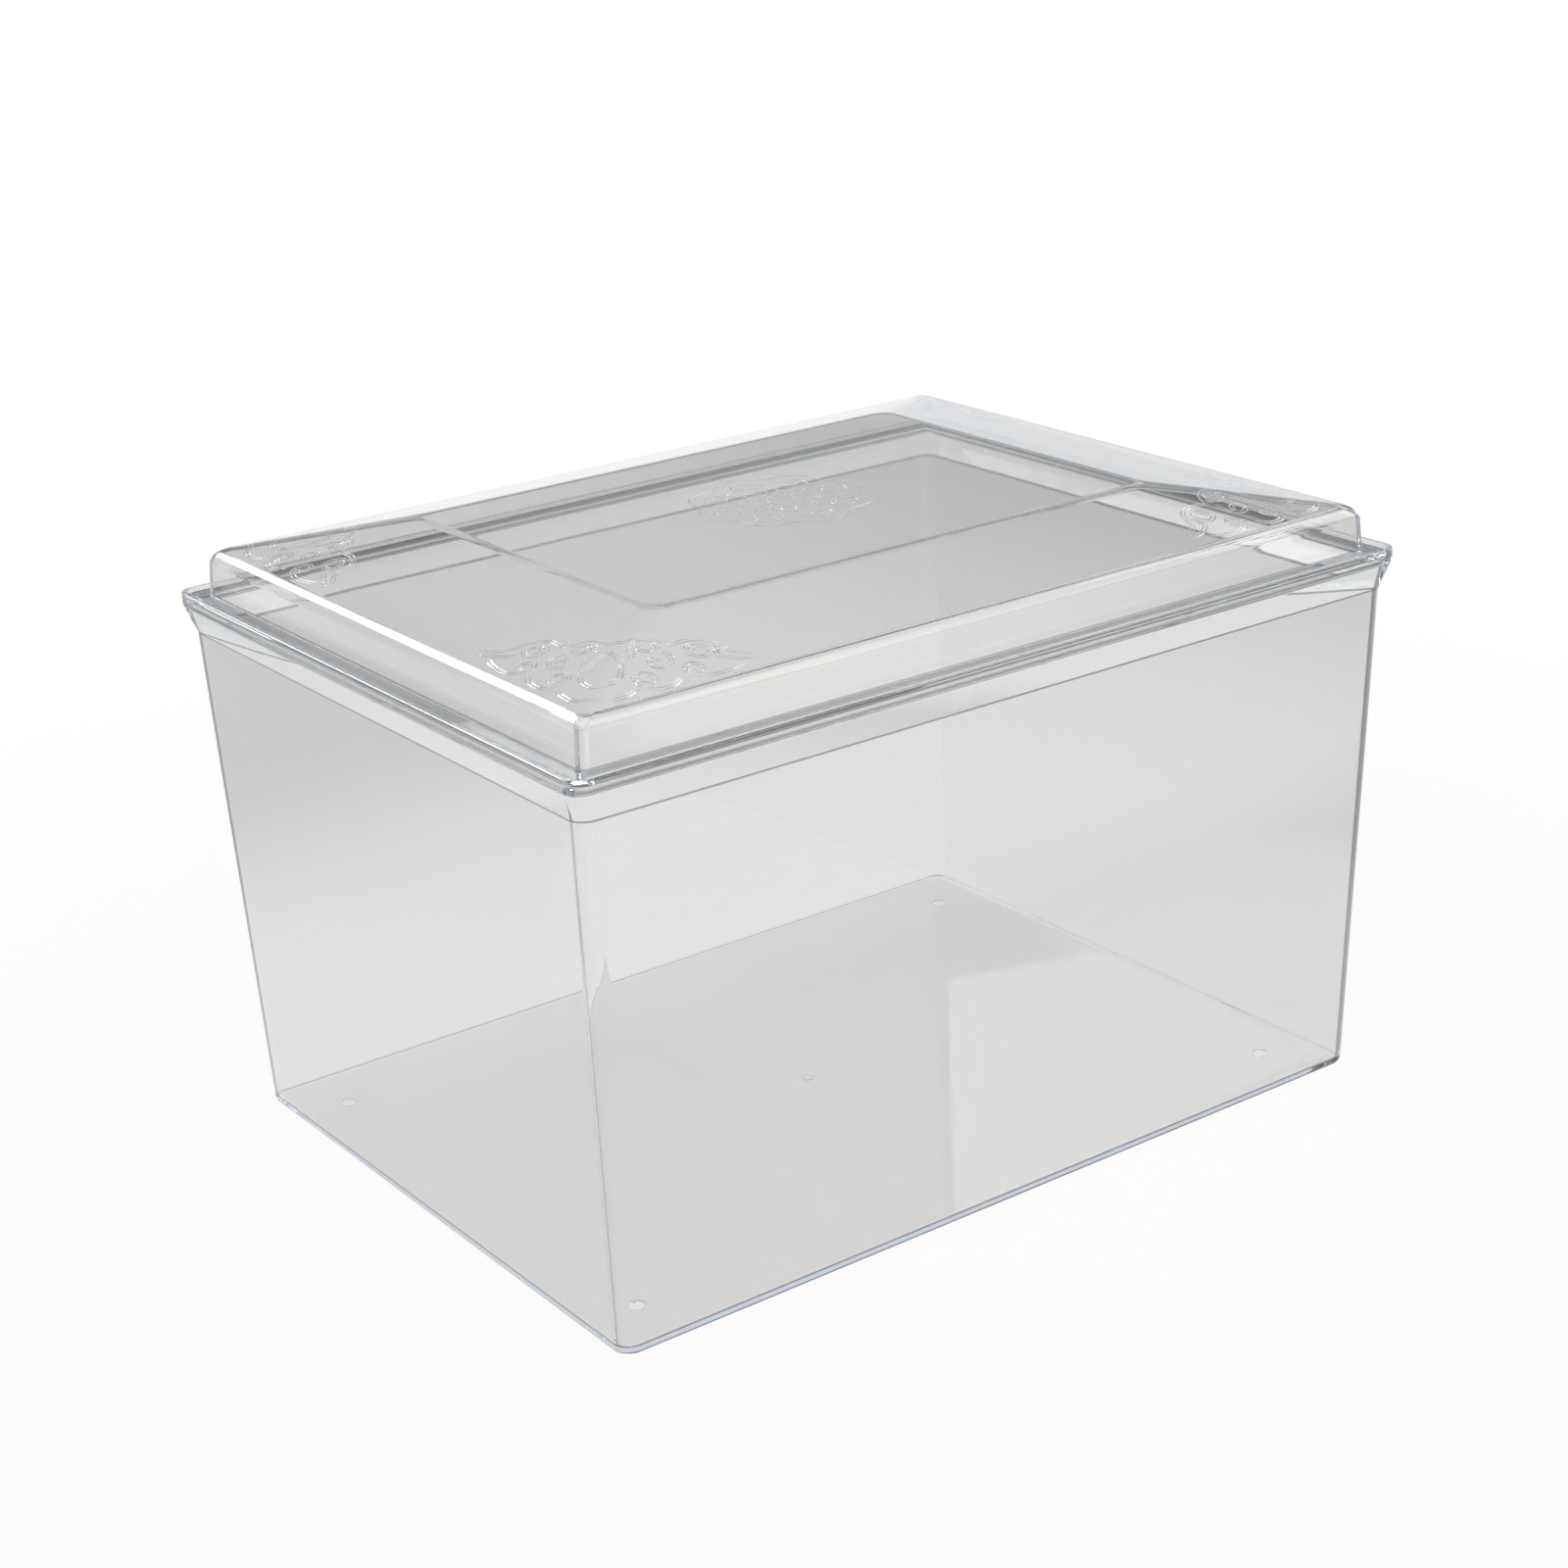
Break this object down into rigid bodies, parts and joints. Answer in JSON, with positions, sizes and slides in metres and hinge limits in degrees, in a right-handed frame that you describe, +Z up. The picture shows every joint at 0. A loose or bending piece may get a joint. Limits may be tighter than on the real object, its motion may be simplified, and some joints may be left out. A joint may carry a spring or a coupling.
{
  "type": "display cover box",
  "caption": "Clear rectangular display box: a drafted tub with a flared rim and inner ledge, closed by a lift-off lid with a raised flat centre.",
  "frame": {"origin": "on the ground, under the middle of the box", "axes": "+X along the longer side, +Y along the shorter side, +Z up, the way the lid lifts"},
  "size_m": [0.39, 0.2976, 0.2574],
  "materials": {
    "tub_plastic": "clear moulded polystyrene, polished",
    "lid_plastic": "clear moulded polystyrene, polished"
  },
  "bodies": {
    "box": {"tub": "tub_plastic"},
    "cover": {"lid": "lid_plastic"}
  },
  "joints": [
    {"name": "lid_lift", "type": "slide", "parent": "box", "child": "cover", "axis": [0, 0, 1], "range_m": [0, 0.12]}
  ]
}
